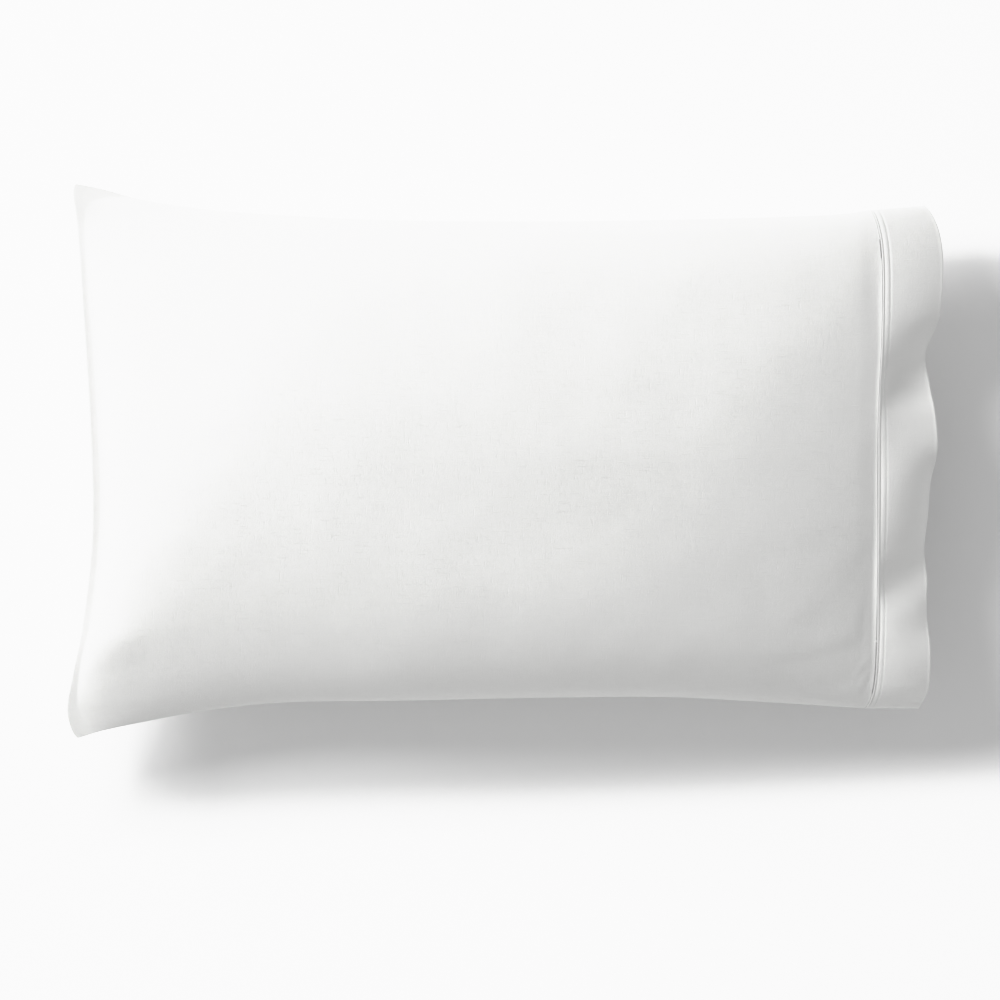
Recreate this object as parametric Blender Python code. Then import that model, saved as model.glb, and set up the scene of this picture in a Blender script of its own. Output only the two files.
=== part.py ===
"""Pillowcase drawn over its pillow, lying on its back on a flat surface.

+X runs from the sewn closed end to the open hem, +Y across the case and +Z up.
The origin is on the resting plane, under the middle of the whole object.
Lengths are in metres and angles in degrees.

Every ring of points round the case is laid out in the same way: the upper cloth
from the -Y side to the +Y side, then the lower cloth back again.  "Across" is a
place on that ring, from -1 at the -Y side to +1 at the +Y side.
"""

import math
from collections import namedtuple

import bmesh
import bpy
from mathutils import Vector

# ---- driving dimensions -----------------------------------------------------

SEAM_HEIGHT = 0.072       # side seams over the resting plane
CROWN_HEIGHT = 0.151      # highest point of the filled case
PILLOW_HALF_WIDTH = 0.239  # how far the filling reaches towards the ears
EAR_DROOP = 0.003         # how far the empty ear tips hang below the seams
EAR_LENGTH = 0.12         # share of the length over which they droop

CLOTH_THICKNESS = 0.0024  # two layers of cloth, at the end seam and in the hem
SEAM_LIP = 0.005          # width of the flat lip along the closed end
WAIST_X = -0.380          # closed end at its innermost point, between the ears
JOINT_X = 0.345           # where the hem band meets the case, at mid width
JOINT_SKEW = 0.0042       # the joint lies this much further out at the +Y side
JOINT_ROUND = 0.0055      # and draws back this much at both side folds
JOINT_TOP = 0.110         # upper cloth at the joint
JOINT_UNDER = 0.024       # lower cloth at the joint
JOINT_UNDER_BACK = 0.010  # the joint lies this much further back in the lower cloth

VALLEY_DEPTH = 0.0028     # the case dips this much just before the joint
VALLEY_BACK = 0.0125      # from the joint back to the bottom of the dip
VALLEY_REACH = 0.0105     # from the bottom of the dip to either brim

HEM_DEPTH = 0.058         # hem band, from the joint to its folded rim
HEM_CORNER_ROUND = 0.007  # how far the rim draws back at the side folds
HEM_FLARE_PLUS_Y = 0.0045  # how far the rim stands out past the joint, at each side
HEM_FLARE_MINUS_Y = 0.0007
PIPING_WIDTH = 0.0040     # raised piping in the joint, along the cloth
PIPING_HEIGHT = 0.0034    # the same, through the cloth
PIPING_PROUD = 0.0012     # how far it stands above the cloth beside it
FIT_GAP = 0.0003          # clearance between pieces that touch

END_INSET = 0.0046        # the filling's end starts this far inside the cloth
END_BULGE = 0.010         # and bulges this far into the mouth

# ---- mesh steps -------------------------------------------------------------

STEPS_ACROSS = 40         # from side to side, on the upper and lower cloth each
STEPS_ALONG_HEM = 6
STEPS_ROUND_RIM = 4
STEPS_ROUND_PIPING = 8
ROUNDING_ACROSS = 8       # powers that keep a rounding close to the side folds
ROUNDING_RIM = 14
ROUNDING_LIP = 24

# Places of the case's rings, from the closed end (0) towards the joint (1).
RINGS_NEAR_SEAM = (0.0100, 0.0170, 0.030, 0.048, 0.072)
RINGS_ALONG_CASE = (0.10, 0.135, 0.175, 0.22, 0.27, 0.33, 0.40, 0.48, 0.56, 0.64,
                    0.715, 0.78, 0.835, 0.88, 0.915, 0.943)
# The last rings, as distances back from the joint.
RINGS_BY_JOINT = (0.0300, 0.0235, 0.0180, 0.0125, 0.0080, 0.0045)

# ---- tables -----------------------------------------------------------------

# Outline of the closed end, between its two ears.
EndPoint = namedtuple("EndPoint", "across x")
CLOSED_END = (
    EndPoint(-1.00, -0.3980),
    EndPoint(-0.90, -0.4035),
    EndPoint(-0.78, -0.3985),
    EndPoint(-0.60, -0.3890),
    EndPoint(-0.25, WAIST_X),
    EndPoint(0.15, -0.3825),
    EndPoint(0.55, -0.3890),
    EndPoint(0.85, -0.3945),
    EndPoint(1.00, -0.3985),
)

# Half widths of the case, from the closed end (0) to the joint (1).
Width = namedtuple("Width", "along plus_y minus_y")
WIDTHS = (
    Width(0.00, 0.2576, 0.2567),
    Width(0.03, 0.2535, 0.2500),
    Width(0.08, 0.2440, 0.2420),
    Width(0.15, 0.2362, 0.2325),
    Width(0.25, 0.2300, 0.2240),
    Width(0.40, 0.2250, 0.2220),
    Width(0.60, 0.2240, 0.2190),
    Width(0.75, 0.2255, 0.2186),
    Width(0.88, 0.2280, 0.2235),
    Width(0.96, 0.2305, 0.2272),
    Width(1.00, 0.2345, 0.2290),
)

# Slope of the hem band's two layers, where it leaves the joint and at its rim.
# A positive angle falls away from the joint, a negative one rises.
Slope = namedtuple("Slope", "across at_joint at_rim")
HEM_TOP = (
    Slope(-1.00, 8, 8),
    Slope(-0.88, 17, 15),
    Slope(-0.72, 22, 24),
    Slope(-0.34, 35, 43),
    Slope(0.10, 25, 23),
    Slope(0.38, 35, 39),
    Slope(0.76, 9, 13),
    Slope(1.00, 6, 6),
)
HEM_UNDER = (
    Slope(-1.00, 8, 8),
    Slope(-0.70, -9, -8),
    Slope(-0.30, -20, -16),
    Slope(0.15, -15, -22),
    Slope(0.55, -20, -14),
    Slope(0.85, -6, -4),
    Slope(1.00, 6, 6),
)

# ---- profile of the filled case ---------------------------------------------

TOP_FULL = 0.55           # share of the length where the upper cloth is fullest
UNDER_FULL = 0.20         # and where the lower cloth reaches the resting plane
UNDER_LIFTS = 0.78        # and where it leaves that plane again
SIDES_ROUND = 0.60        # and where the knife edges start to open into folds
TOP_FALL_POWER = 2.3      # how late the upper cloth falls towards the joint
UNDER_LIFT_POWER = 1.8    # how late the lower cloth rises towards it
FLOOR_BLEND = 0.004       # height over which the lower cloth eases on to the plane

# Shape of the swell from an edge: a larger power is fuller, and a sharpness
# over 0.5 makes a knife edge where 0.5 makes a round fold.
Swell = namedtuple("Swell", "power sharpness")
TOP_FROM_END = Swell(2.4, 0.62)
UNDER_FROM_END = Swell(2.0, 0.62)
TOP_FROM_SIDE = Swell(2.6, 0.60)
UNDER_FROM_SIDE = Swell(2.9, 0.66)
ROUND_FOLD = Swell(2.0, 0.50)

# The filling's end in the mouth: height and bulge of each ring, as shares.
EndRing = namedtuple("EndRing", "height bulge")
FILLING_END = (
    EndRing(1.00, 0.00),
    EndRing(0.93, 0.35),
    EndRing(0.78, 0.65),
    EndRing(0.52, 0.88),
    EndRing(0.20, 0.99),
    EndRing(0.03, 1.00),
)

# ---- materials --------------------------------------------------------------

WHITE_COTTON = (0.86, 0.86, 0.845, 1.0)
WHITE_PIPING = (0.88, 0.88, 0.865, 1.0)
CLOTH_ROUGHNESS = 0.88


def smooth_table(rows, key, column, at):
    """Value of a column at a place, on a smooth curve through the table's rows."""
    keys = [getattr(row, key) for row in rows]
    values = [getattr(row, column) for row in rows]
    last = len(rows) - 1
    at = min(max(at, keys[0]), keys[-1])
    i = max(j for j in range(last) if keys[j] <= at)

    def tangent(j):
        before, after = max(j - 1, 0), min(j + 1, last)
        return (values[after] - values[before]) / (keys[after] - keys[before])

    span = keys[i + 1] - keys[i]
    t = (at - keys[i]) / span
    rise = values[i + 1] - values[i]
    start, end = tangent(i) * span, tangent(i + 1) * span
    return (values[i] + start * t
            + (3 * rise - 2 * start - end) * t ** 2
            + (start + end - 2 * rise) * t ** 3)


def blend(a, b, t):
    """Straight mix of a and b."""
    return a + (b - a) * t


def ease(t):
    """Smooth step from 0 to 1."""
    t = min(max(t, 0.0), 1.0)
    return t * t * (3.0 - 2.0 * t)


def swell(t, shape):
    """Rise of filled cloth from an edge at t = 0 to its full height at t = 1."""
    t = min(max(t, 0.0), 1.0)
    return (1.0 - (1.0 - t) ** shape.power) ** shape.sharpness


def onset(along, start, power):
    """Share from 0, up to a start, to 1 at the joint."""
    return max(0.0, (along - start) / (1.0 - start)) ** power


def rest_on_plane(z):
    """The height z, eased on to the resting plane and never below it."""
    if z >= FLOOR_BLEND:
        return z
    if z <= -FLOOR_BLEND:
        return 0.0
    return (z + FLOOR_BLEND) ** 2 / (4.0 * FLOOR_BLEND)


# ---- the case's surface -----------------------------------------------------

def ring_places():
    """(across, side) of every point of a ring; side is +1 above and -1 below."""
    upper = [(math.sin(math.pi * (i / STEPS_ACROSS - 0.5)), 1)
             for i in range(STEPS_ACROSS + 1)]
    lower = [(across, -1) for across, _ in reversed(upper[1:-1])]
    return upper + lower


def joint_x(across, side):
    """X of the joint between the case and its hem band."""
    x = JOINT_X + JOINT_SKEW * across - JOINT_ROUND * abs(across) ** ROUNDING_ACROSS
    if side < 0:
        x -= JOINT_UNDER_BACK * math.sqrt(1.0 - across ** 2)
    return x


def half_width(along, across):
    """Half width of the case, on the side where across lies."""
    column = "plus_y" if across >= 0 else "minus_y"
    return smooth_table(WIDTHS, "along", column, along)


def lip_share():
    """The seam lip's width as a share of the length."""
    return SEAM_LIP / (JOINT_X - WAIST_X)


def height_along(along, side):
    """Height of the cloth over or under the seams' level, at mid width."""
    past_lip = (along - lip_share()) / (1.0 - lip_share())
    if side > 0:
        rise = (CROWN_HEIGHT - SEAM_HEIGHT) * swell(past_lip / TOP_FULL, TOP_FROM_END)
        fall = (CROWN_HEIGHT - JOINT_TOP) * onset(along, TOP_FULL, TOP_FALL_POWER)
        return rise - fall
    under_plane = 2.0 * FLOOR_BLEND
    sink = (SEAM_HEIGHT + under_plane) * swell(past_lip / UNDER_FULL, UNDER_FROM_END)
    lift = (JOINT_UNDER + under_plane) * onset(along, UNDER_LIFTS, UNDER_LIFT_POWER)
    return lift - sink


def fullness(along, across, side):
    """Share of the mid-width height that is left nearer the sides."""
    width = half_width(along, across)
    reach = min(abs(across) * width / min(width, PILLOW_HALF_WIDTH), 1.0)
    knife = TOP_FROM_SIDE if side > 0 else UNDER_FROM_SIDE
    opening = ease((along - SIDES_ROUND) / (1.0 - SIDES_ROUND))
    shape = Swell(blend(knife.power, ROUND_FOLD.power, opening),
                  blend(knife.sharpness, ROUND_FOLD.sharpness, opening))
    return swell(1.0 - reach, shape)


def seam_level(along, across):
    """Height of the side seams, which droop at the empty ears."""
    tip = (1.0 - ease(along / EAR_LENGTH)) * ease(4.0 * abs(across) - 3.0)
    return SEAM_HEIGHT - EAR_DROOP * tip


def valley(x, across, side):
    """Depth of the dip that the stitching pulls into the case by the joint."""
    offset = (joint_x(across, side) - VALLEY_BACK - x) / VALLEY_REACH
    return VALLEY_DEPTH * (1.0 - ease(abs(offset))) * math.sqrt(1.0 - across ** 2)


def case_point(along, across, side):
    """A point of the case's cloth."""
    x = blend(smooth_table(CLOSED_END, "across", "x", across), joint_x(across, side), along)
    y = across * half_width(along, across)
    height = height_along(along, side) * fullness(along, across, side)
    least = 0.5 * CLOTH_THICKNESS * (1.0 - abs(across) ** ROUNDING_LIP)
    height = max(height, least) if side > 0 else min(height, -least)
    height -= side * valley(x, across, side)
    z = seam_level(along, across) + height
    return Vector((x, y, rest_on_plane(z) if side < 0 else z))


# ---- the hem's surface ------------------------------------------------------

def hem_point(depth, across, side):
    """A point of the hem band's outer cloth, at a depth from 0 (joint) to 1 (rim)."""
    rows = HEM_TOP if side > 0 else HEM_UNDER
    at_joint = smooth_table(rows, "across", "at_joint", across)
    at_rim = smooth_table(rows, "across", "at_rim", across)
    mean_slope = math.radians(blend(at_joint, at_rim, 0.5 * depth))
    start = case_point(1.0, across, side)
    corner = HEM_CORNER_ROUND * ease(depth) * abs(across) ** ROUNDING_RIM
    flare = HEM_FLARE_PLUS_Y if across > 0 else HEM_FLARE_MINUS_Y
    x = start.x + HEM_DEPTH * depth * math.cos(mean_slope) - corner
    z = start.z - HEM_DEPTH * depth * math.sin(mean_slope)
    return Vector((x, start.y + across * flare * depth, z))


def frames(ring, onward):
    """(along, outward) unit vectors for each point of a closed ring of cloth."""
    result = []
    for i, point in enumerate(ring):
        around = ring[(i + 1) % len(ring)] - ring[i - 1]
        outward = (onward[i] - point).cross(around).normalized()
        result.append((around.cross(outward).normalized(), outward))
    return result


# ---- mesh helpers -----------------------------------------------------------

def cotton(name, colour):
    """Plain cloth material."""
    material = bpy.data.materials.new(name)
    material.use_nodes = True
    shader = material.node_tree.nodes["Principled BSDF"]
    shader.inputs["Base Color"].default_value = colour
    shader.inputs["Roughness"].default_value = CLOTH_ROUGHNESS
    shader.inputs["Metallic"].default_value = 0.0
    material.diffuse_color = colour
    return material


def join_rings(mesh, rings, closed):
    """Faces between neighbouring rings, and from the last to the first if closed."""
    pairs = list(zip(rings, rings[1:]))
    if closed:
        pairs.append((rings[-1], rings[0]))
    for near, far in pairs:
        for i in range(len(near)):
            j = (i + 1) % len(near)
            mesh.faces.new((near[i], near[j], far[j], far[i]))


def close_lens(mesh, ring):
    """Close a flat ring with strips from its upper to its lower points."""
    count = len(ring)
    for i in range(STEPS_ACROSS):
        corners = [ring[i], ring[i + 1], ring[-i - 1], ring[-i % count]]
        unique = [v for k, v in enumerate(corners) if v not in corners[:k]]
        mesh.faces.new(unique)


def add_object(name, mesh, material):
    """Finish a bmesh as a smooth, closed, outward-facing object."""
    bmesh.ops.recalc_face_normals(mesh, faces=mesh.faces)
    data = bpy.data.meshes.new(name)
    mesh.to_mesh(data)
    mesh.free()
    data.materials.append(material)
    data.shade_smooth()
    data.set_sharp_from_angle(angle=math.radians(50))
    thing = bpy.data.objects.new(name, data)
    bpy.context.scene.collection.objects.link(thing)
    return thing


# ---- the pieces -------------------------------------------------------------

def case_ring(along):
    """Ring of the case at a share of its length."""
    return [case_point(along, across, side) for across, side in ring_places()]


def case_ring_by_joint(back):
    """Ring of the case at a distance back from the joint."""
    ring = []
    for across, side in ring_places():
        length = joint_x(across, side) - smooth_table(CLOSED_END, "across", "x", across)
        ring.append(case_point(1.0 - back / length, across, side))
    return ring


def hem_ring(depth):
    """Ring of the hem band's outer cloth."""
    return [hem_point(depth, across, side) for across, side in ring_places()]


def joint_line():
    """The joint's ring of points, with their (along, outward) vectors."""
    line = case_ring(1.0)
    onward = [point + after - before
              for point, before, after in zip(line, case_ring_by_joint(0.006), hem_ring(0.1))]
    return line, frames(line, onward)


def moved_along(line, vectors, distance):
    """The joint's ring, moved along the cloth."""
    return [point + along * distance for point, (along, _) in zip(line, vectors)]


def filling_end(edge):
    """Rings that close the case inside the mouth, as the pillow's own end."""
    widest = max(abs(point.y) for point in edge)
    middle = 0.5 * (JOINT_TOP + JOINT_UNDER)
    narrow = 1.0 - END_INSET / widest
    flat = 1.0 - END_INSET / (JOINT_TOP - middle)
    rings = []
    for row in FILLING_END:
        ring = []
        for i, point in enumerate(edge):
            bulge = END_BULGE * row.bulge * (1.0 - (point.y / widest) ** 4)
            x = blend(0.5 * (point.x + edge[-i].x), point.x, row.height) + bulge
            z = middle + (point.z - middle) * flat * row.height
            ring.append(Vector((x, point.y * narrow, z)))
        rings.append(ring)
    return rings


def make_case_body(line, vectors):
    """The filled case: one solid from the closed end's seam to the joint."""
    mesh = bmesh.new()
    stations = (0.0, lip_share()) + RINGS_NEAR_SEAM + RINGS_ALONG_CASE
    rings = [case_ring(along) for along in stations]
    rings += [case_ring_by_joint(back) for back in RINGS_BY_JOINT]
    edge = moved_along(line, vectors, -(0.5 * PIPING_WIDTH + FIT_GAP))
    rings.append(edge)
    rings += filling_end(edge)
    rows = [[mesh.verts.new(point) for point in ring] for ring in rings]
    join_rings(mesh, rows, closed=False)
    close_lens(mesh, rows[0])
    close_lens(mesh, rows[-1])
    return add_object("case_body", mesh, cotton("case_cotton", WHITE_COTTON))


def make_piping(line, vectors):
    """The raised piping: a rounded strip all the way round the joint."""
    mesh = bmesh.new()
    middle = PIPING_PROUD - 0.5 * PIPING_HEIGHT
    rows = []
    for step in range(STEPS_ROUND_PIPING):
        angle = 2.0 * math.pi * step / STEPS_ROUND_PIPING
        on_cloth = 0.5 * PIPING_WIDTH * math.cos(angle)
        through = middle + 0.5 * PIPING_HEIGHT * math.sin(angle)
        rows.append([mesh.verts.new(point + along * on_cloth + outward * through)
                     for point, (along, outward) in zip(line, vectors)])
    join_rings(mesh, rows, closed=True)
    return add_object("hem_piping", mesh, cotton("piping_cotton", WHITE_PIPING))


def hem_outer_rings(line, vectors):
    """Outer cloth of the hem band, which starts just past the piping."""
    start = moved_along(line, vectors, 0.5 * PIPING_WIDTH + FIT_GAP)
    shift = [a - b for a, b in zip(start, hem_ring(0.0))]
    rim = 1.0 - 0.5 * CLOTH_THICKNESS / HEM_DEPTH
    rings = []
    for step in range(STEPS_ALONG_HEM + 1):
        depth = step / STEPS_ALONG_HEM
        settle = 1.0 - ease(2.0 * depth)
        rings.append([point + move * settle for point, move in zip(hem_ring(depth * rim), shift)])
    return rings


def make_hem_band(line, vectors):
    """The hem band: a wavy tube of doubled cloth, open at its folded rim."""
    mesh = bmesh.new()
    outer = hem_outer_rings(line, vectors)
    beyond = [2.0 * last - before for last, before in zip(outer[-1], outer[-2])]
    cloth = [frames(ring, after) for ring, after in zip(outer, outer[1:] + [beyond])]
    inner = [[point - outward * CLOTH_THICKNESS for point, (_, outward) in zip(ring, vectors)]
             for ring, vectors in zip(outer, cloth)]
    radius = 0.5 * CLOTH_THICKNESS
    fold = []
    for step in range(1, STEPS_ROUND_RIM):
        angle = math.pi * step / STEPS_ROUND_RIM
        reach, height = radius * math.sin(angle), radius * (math.cos(angle) - 1.0)
        fold.append([point + along * reach + outward * height
                     for point, (along, outward) in zip(outer[-1], cloth[-1])])
    rows = [[mesh.verts.new(point) for point in ring] for ring in outer + fold + inner[::-1]]
    join_rings(mesh, rows, closed=True)
    return add_object("hem_band", mesh, cotton("hem_cotton", WHITE_COTTON))


def main():
    """Build the three pieces of the pillowcase."""
    for thing in list(bpy.data.objects):
        bpy.data.objects.remove(thing)
    line, vectors = joint_line()
    make_case_body(line, vectors)
    make_piping(line, vectors)
    make_hem_band(line, vectors)


main()
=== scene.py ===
"""Looks of the filled pillowcase: fine cloth, hem, piping and stitches, with the photo's light.

Lengths are in metres.  +X runs from the sewn closed end to the open hem, +Y across
the case and +Z up.  Every ring of points round the case is laid out in the same way:
the upper cloth from the -Y side to the +Y side, then the lower cloth back again.
"Across" is a place on that ring, from -1 at the -Y side to +1 at the +Y side.
"""

import math
from collections import namedtuple

import bpy
import numpy as np
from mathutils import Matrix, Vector

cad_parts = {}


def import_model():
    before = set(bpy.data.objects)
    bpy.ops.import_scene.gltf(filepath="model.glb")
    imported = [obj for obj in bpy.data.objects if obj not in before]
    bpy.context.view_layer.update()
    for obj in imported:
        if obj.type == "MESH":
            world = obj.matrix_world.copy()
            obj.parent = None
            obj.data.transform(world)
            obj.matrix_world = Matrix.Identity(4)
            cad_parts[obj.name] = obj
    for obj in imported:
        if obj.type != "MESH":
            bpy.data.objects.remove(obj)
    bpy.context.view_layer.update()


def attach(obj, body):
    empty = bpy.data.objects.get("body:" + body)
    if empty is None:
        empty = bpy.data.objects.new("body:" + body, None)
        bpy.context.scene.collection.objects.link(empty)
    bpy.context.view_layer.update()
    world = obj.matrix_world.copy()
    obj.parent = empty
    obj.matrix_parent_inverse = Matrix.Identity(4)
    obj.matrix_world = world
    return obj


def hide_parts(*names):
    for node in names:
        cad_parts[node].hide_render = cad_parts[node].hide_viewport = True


# ---- driving dimensions -------------------------

SEAM_HEIGHT = 0.072       # side seams over the resting plane
CROWN_HEIGHT = 0.151      # highest point of the filled case
FILLED_TO_PLUS_Y = 0.246  # the filling ends here at each side, short of the ears' tips
FILLED_TO_MINUS_Y = 0.2545
EAR_SHARPER = 0.30        # how much more of a knife edge the empty ears are underneath
EAR_FADE = 0.16           # share of the length over which that fades
CLOTH_THICKNESS = 0.0024  # two layers of cloth, at the end seam and in the hem
FOLD_RADIUS = 0.5 * CLOTH_THICKNESS
SEAM_LIP = 0.0062         # width of the flat lip along the closed end
LIP_AT_EARS = 0.30        # share of the lip's width that is left at the ears
LIP_SOFTNESS = 0.0070     # how softly the cloth rises from the lip at mid width
SOFTNESS_LOST = 0.75      # share of that softness that is gone near the ears
EAR_CORNER = 0.0040       # rounding of the ears' corners, and how close to the tip it is
EAR_CORNER_POWER = 70
WAIST_X = -0.380          # the closed end at mid width
JOINT_X = 0.345           # where the hem band meets the case
JOINT_TOP = 0.110         # height of the joint at mid width, above and underneath
JOINT_UNDER = 0.024
JOINT_UNDER_BACK = 0.010  # the joint lies this much further back underneath
VALLEY_DEPTH = 0.0010     # the case dips this much beside the piping
VALLEY_BACK = 0.0045      # from the joint back to the bottom of the dip
VALLEY_REACH = 0.0180     # from the bottom of the dip back to its brim
HEM_DEPTH = 0.058         # from the joint to the rim
HEM_CORNER_ROUND = 0.007  # the rim draws back this much at the two sides
HEM_CORNER_POWER = 14
HEM_SHORTER_MINUS_Y = 0.0100  # the hem's upper cloth is up to this much shorter near -Y
HEM_SHORTER_POWER = 9     # how close to the side it has its whole depth again
HEM_FLARE_PLUS_Y = 0.0045     # the hem reaches this much further out at its rim
HEM_FLARE_MINUS_Y = 0.0007
PIPING_WIDTH = 0.0036     # at its widest
PIPING_HEIGHT = 0.0024
PIPING_PROUD = 0.0003     # its top stands this far over the joint's line
FIT_GAP = 0.0003          # between the piping and the case
HEM_TUCKED = 0.0005       # the hem's cloth starts this far under the piping's edge
HEM_TUCK_DEPTH = 0.0016
END_INSET = 0.0046        # the pillow's end lies this far inside the mouth's cloth
END_BULGE = 0.010         # and bulges this far into the mouth at mid width
RIM_BEAD = 0.0004         # the folded rim stands up this much
RIM_BEAD_WIDTH = 0.0012

# ---- tables -------------------------------------

EndPoint = namedtuple("EndPoint", "across x")
CLOSED_END = (
    EndPoint(-1.00, -0.3980),
    EndPoint(-0.90, -0.4035),
    EndPoint(-0.78, -0.3985),
    EndPoint(-0.60, -0.3890),
    EndPoint(-0.25, WAIST_X),
    EndPoint(0.15, -0.3825),
    EndPoint(0.55, -0.3890),
    EndPoint(0.85, -0.3945),
    EndPoint(1.00, -0.3985),
)

# The closed end's lip curls up: how far in from the end, and how high at the end.
Curl = namedtuple("Curl", "across reach lift")
LIP_CURL = (
    Curl(-1.00, 0.090, 0.0002),
    Curl(-0.85, 0.090, 0.0042),
    Curl(-0.70, 0.074, 0.0059),
    Curl(-0.55, 0.036, 0.0054),
    Curl(-0.30, 0.014, 0.0040),
    Curl(0.00, 0.012, 0.0038),
    Curl(0.40, 0.010, 0.0030),
    Curl(0.72, 0.008, 0.0016),
    Curl(0.86, 0.018, 0.0016),
    Curl(0.95, 0.090, 0.0062),
    Curl(1.00, 0.125, 0.0092),
)

Width = namedtuple("Width", "along plus_y minus_y")
WIDTHS = (
    Width(0.00, 0.2576, 0.2567),
    Width(0.03, 0.2535, 0.2500),
    Width(0.08, 0.2440, 0.2420),
    Width(0.15, 0.2362, 0.2325),
    Width(0.25, 0.2300, 0.2240),
    Width(0.40, 0.2250, 0.2220),
    Width(0.60, 0.2240, 0.2190),
    Width(0.75, 0.2255, 0.2186),
    Width(0.88, 0.2280, 0.2235),
    Width(0.96, 0.2305, 0.2272),
    Width(1.00, 0.2345, 0.2290),
)

# The joint lies further out or back towards each side, and rounds off at the ear.
JointEnd = namedtuple("JointEnd", "out round power")
JOINT_PLUS_Y = JointEnd(0.0085, 0.0105, 10)
JOINT_MINUS_Y = JointEnd(0.0006, 0.0078, 18)

# Slopes of the hem's two layers in degrees; a positive one falls from the joint.
Slope = namedtuple("Slope", "across at_joint at_rim")
HEM_TOP = (
    Slope(-1.00, 8, 8),
    Slope(-0.97, 6, 14),
    Slope(-0.90, -8, 11),
    Slope(-0.76, -17, 14),
    Slope(-0.62, -17, 52),
    Slope(-0.48, 39, 13),
    Slope(-0.36, 19, 52),
    Slope(-0.22, 2, 61),
    Slope(-0.08, -7, 62),
    Slope(0.06, 7, 22),
    Slope(0.18, 23, 16),
    Slope(0.30, 60, 1),
    Slope(0.43, 27, 50),
    Slope(0.57, 6, 31),
    Slope(0.76, 2, 18),
    Slope(0.96, 5, 10),
    Slope(1.00, 6, 6),
)
HEM_UNDER = (
    Slope(-1.00, 8, 8),
    Slope(-0.70, -9, -8),
    Slope(-0.30, -20, -16),
    Slope(0.15, -15, -22),
    Slope(0.55, -20, -14),
    Slope(0.85, -6, -4),
    Slope(1.00, 6, 6),
)

# How the joint changes across the case: share of the piping's full width, and how
# strongly the groove and the strip beside it show.
Seam = namedtuple("Seam", "across piping strip")
SEAMS = (
    Seam(-1.00, 0.80, 0.5),
    Seam(-0.89, 0.72, 0.6),
    Seam(-0.74, 0.90, 1.0),
    Seam(-0.62, 0.98, 0.8),
    Seam(-0.48, 0.80, 0.7),
    Seam(-0.32, 0.76, 0.6),
    Seam(-0.15, 0.92, 1.0),
    Seam(0.01, 1.00, 0.7),
    Seam(0.17, 0.98, 0.6),
    Seam(0.33, 0.84, 0.9),
    Seam(0.48, 0.74, 0.7),
    Seam(0.64, 0.66, 1.2),
    Seam(0.80, 0.70, 1.4),
    Seam(1.00, 0.70, 0.8),
)

# ---- profile of the filled case -----------------

# Shares of the length from the closed end.
TOP_FULL = 0.53           # the upper cloth starts to fall to the joint here
UNDER_FULL = 0.20         # the lower cloth is at its lowest from here
UNDER_LIFTS = 0.78        # and starts to lift to the joint here
SIDES_ROUND = 0.60        # the sides start to open into a round fold here

TOP_FALL_POWER = 2.68
UNDER_LIFT_POWER = 1.8
FLOOR_BLEND = 0.004       # height over which the cloth settles on the resting plane
LEAST_HEIGHT_POWER = 24   # how close to a side the two layers of cloth meet

# How the lower cloth swells from the closed end and from its sides.
Swell = namedtuple("Swell", "power sharpness")
UNDER_FROM_END = Swell(2.0, 0.62)
UNDER_FROM_SIDE = Swell(2.9, 0.66)
ROUND_FOLD = Swell(2.0, 0.50)

# How the upper cloth rises from the closed end, and the share of the length it takes.
EndRise = namedtuple("EndRise", "across full power sharpness")
TOP_FROM_END = (
    EndRise(-1.00, 0.30, 5.48, 1.97),
    EndRise(-0.76, 0.32, 3.12, 0.70),
    EndRise(-0.55, 0.47, 4.00, 0.51),
    EndRise(0.00, 0.42, 3.45, 0.51),
    EndRise(0.55, 0.48, 2.72, 0.54),
    EndRise(1.00, 0.53, 2.41, 0.62),
)

# How it rises from its two sides.
SideRise = namedtuple("SideRise", "along plus_power plus_sharp minus_power minus_sharp")
TOP_FROM_SIDES = (
    SideRise(0.00, 1.78, 0.90, 3.59, 0.75),
    SideRise(0.10, 2.08, 0.70, 2.19, 0.82),
    SideRise(0.25, 2.64, 0.82, 1.82, 0.61),
    SideRise(0.50, 1.63, 0.71, 3.42, 0.50),
    SideRise(0.80, 1.56, 0.72, 4.03, 0.50),
    SideRise(1.00, 2.00, 0.50, 2.00, 0.50),
)

# ---- small forms of the cloth -------------------

# Soft ridges (positive) and troughs of the upper cloth: place of the middle,
# half length and half width, direction of the length in degrees, and height.
Fold = namedtuple("Fold", "x y length width turn height")
FOLDS = (
    Fold(0.237, -0.130, 0.020, 0.010, 95, -0.00035),
    Fold(0.276, -0.131, 0.036, 0.018, 45, 0.00075),
    Fold(0.266, -0.172, 0.036, 0.014, 42, -0.00050),
    Fold(0.338, -0.118, 0.046, 0.020, 90, -0.00230),
    Fold(0.306, -0.178, 0.024, 0.014, 50, 0.00050),
    Fold(0.252, -0.212, 0.022, 0.010, 65, -0.00050),
    Fold(0.342, 0.160, 0.045, 0.012, 90, -0.00140),
    Fold(0.318, -0.196, 0.020, 0.008, 25, -0.00060),
    Fold(0.334, -0.186, 0.012, 0.004, 55, 0.00050),
    Fold(0.338, -0.203, 0.010, 0.003, 60, -0.00045),
    Fold(0.180, -0.160, 0.040, 0.016, 35, 0.00035),
)

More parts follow.
